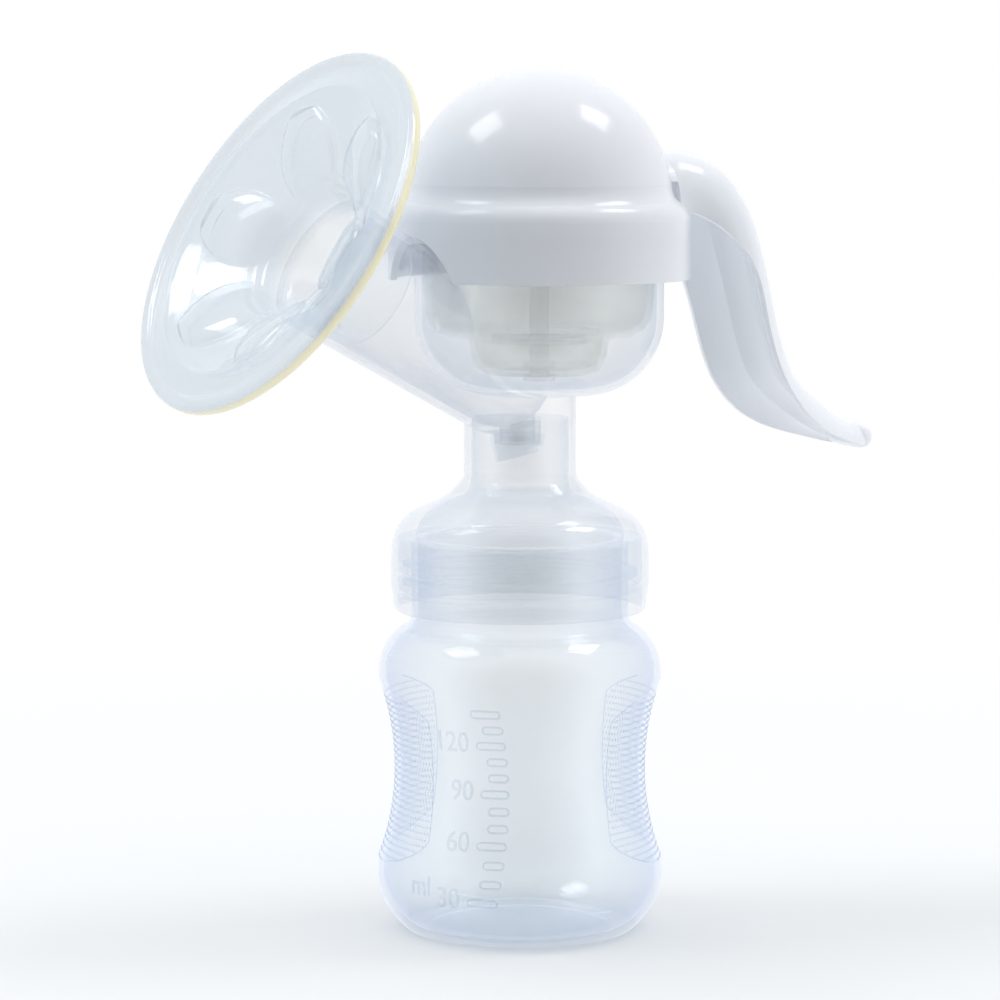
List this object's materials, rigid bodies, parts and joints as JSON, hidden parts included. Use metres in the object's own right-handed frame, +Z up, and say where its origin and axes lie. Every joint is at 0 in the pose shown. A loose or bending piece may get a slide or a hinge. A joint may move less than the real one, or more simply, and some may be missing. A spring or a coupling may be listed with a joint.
{
  "type": "manual breast pump",
  "caption": "Hand-squeezed breast pump: tilted silicone-lined funnel on a clear pump body, white dome cap with a leaf-shaped squeeze handle, and a screw-on waisted milk bottle.",
  "frame": {"origin": "centre of the flat ring that the bottle stands on", "axes": "+Z up along the bottle's axis, +X towards the squeeze handle and -X towards the breast funnel, +Y to the left of someone looking along +X"},
  "size_m": [0.1895, 0.09, 0.2011],
  "materials": {
    "clear_pp": "clear moulded polypropylene with a faint blue tint",
    "body_pp": "clear moulded polypropylene with a faint blue tint",
    "white_pp": "glossy white moulded polypropylene",
    "pin_plastic": "plain acetal pin",
    "stem_pp": "plain white moulded plastic",
    "cushion_silicone": "smooth translucent silicone",
    "diaphragm_silicone": "smooth translucent silicone",
    "valve_silicone": "thin translucent silicone",
    "seal_silicone": "thin translucent silicone"
  },
  "bodies": {
    "body": {"pump_body": "body_pp"},
    "cap": {"dome_cap": "white_pp", "pivot_pin": "pin_plastic"},
    "lever": {"handle": "white_pp"},
    "stem": {"pull_stem": "stem_pp", "diaphragm": "diaphragm_silicone"},
    "cushion": {"breast_cushion": "cushion_silicone"},
    "valve": {"duckbill_valve": "valve_silicone"},
    "seal": {"sealing_ring": "seal_silicone"},
    "bottle": {"bottle": "clear_pp"}
  },
  "joints": [
    {"name": "cap_lift", "type": "slide", "parent": "body", "child": "cap", "axis": [0, 0, 1], "range_m": [0, 0.05]},
    {"name": "handle_squeeze", "type": "hinge", "parent": "cap", "child": "lever", "pos_m": [0.0333, 0, 0.1647], "axis": [0, 1, 0], "range_deg": [0, 20], "stiffness_Nm_per_rad": 0.5},
    {"name": "stem_pull", "type": "slide", "parent": "cap", "child": "stem", "axis": [0, 0, 1], "range_m": [0, 0.01], "stiffness_N_per_m": 0.5, "springref_m": 0.27, "deforming": ["diaphragm"]},
    {"name": "cushion_pull_off", "type": "slide", "parent": "body", "child": "cushion", "axis": [-0.866, 0, 0.5], "range_m": [0, 0.04]},
    {"name": "valve_pull_off", "type": "slide", "parent": "body", "child": "valve", "axis": [0, 0, -1], "range_m": [0, 0.012]},
    {"name": "bottle_lower", "type": "slide", "parent": "body", "child": "seal", "axis": [0, 0, -1], "range_m": [0, 0.0043]},
    {"name": "bottle_unscrew", "type": "hinge", "parent": "seal", "child": "bottle", "pos_m": [0, 0, 0.083], "axis": [0, 0, -1], "range_deg": [0, 360]}
  ],
  "couplings": [
    {"joint": "stem_pull", "follows": "handle_squeeze", "m_per_rad": 0.028432},
    {"joint": "bottle_unscrew", "follows": "bottle_lower", "rad_per_m": 1461.2}
  ]
}
